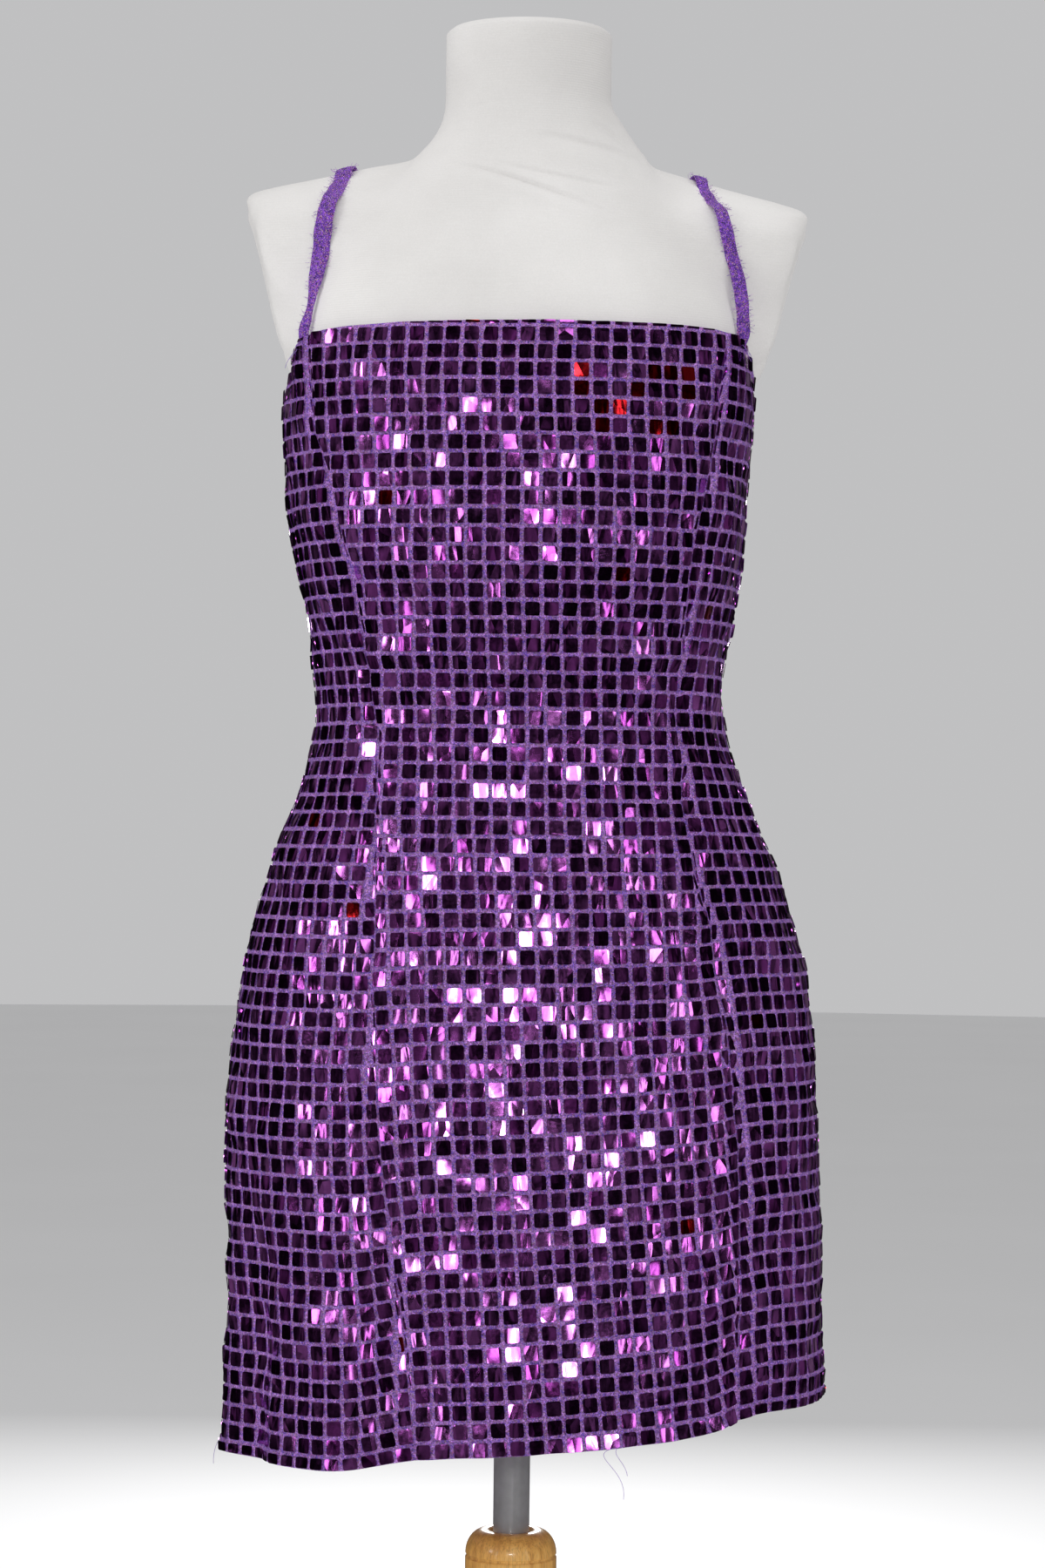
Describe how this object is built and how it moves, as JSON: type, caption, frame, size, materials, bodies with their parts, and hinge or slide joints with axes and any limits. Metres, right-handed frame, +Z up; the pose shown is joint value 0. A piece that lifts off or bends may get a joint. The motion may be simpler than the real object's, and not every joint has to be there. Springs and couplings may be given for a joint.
{
  "type": "mini dress on dress form with stand",
  "caption": "Sleeveless fitted mini dress of glitter knit covered in foil squares, on a limbless dress form with a metal pole and a turned wooden stand.",
  "frame": {"origin": "centre of the flat underside of the base, on the pole's axis", "axes": "+Z up along the pole, -Y the way the dress faces, +X the wearer's left"},
  "size_m": [0.4112, 0.38, 1.503],
  "materials": {
    "foil_square_knit": "violet glitter knit under a grid of crinkled mirror foil squares, from near-black wine to bright pink-violet",
    "strap_knit": "violet glitter knit with frayed metallic fibres",
    "jersey": "matt off-white stretch jersey",
    "satin_metal": "satin",
    "lacquered_wood": "clear lacquer over honey-coloured wood, grain along the column"
  },
  "bodies": {
    "stand": {"base": "lacquered_wood", "column": "lacquered_wood"},
    "mast": {"pole": "satin_metal"},
    "form": {"torso": "jersey", "front_centre": "foil_square_knit", "front_side_left": "foil_square_knit", "front_side_right": "foil_square_knit", "back_left": "foil_square_knit", "back_right": "foil_square_knit", "strap_left": "strap_knit", "strap_right": "strap_knit"},
    "screw": {"knob": "satin_metal"}
  },
  "joints": [
    {"name": "height", "type": "slide", "parent": "stand", "child": "mast", "axis": [0, 0, 1], "range_m": [-0.12, 0.2]},
    {"name": "turn", "type": "hinge", "parent": "mast", "child": "form", "pos_m": [0, 0, 0.82], "axis": [0, 0, 1], "continuous": true},
    {"name": "screw_turn", "type": "hinge", "parent": "stand", "child": "screw", "pos_m": [0, 0.04, 0.4], "axis": [0, 1, 0], "continuous": true}
  ]
}
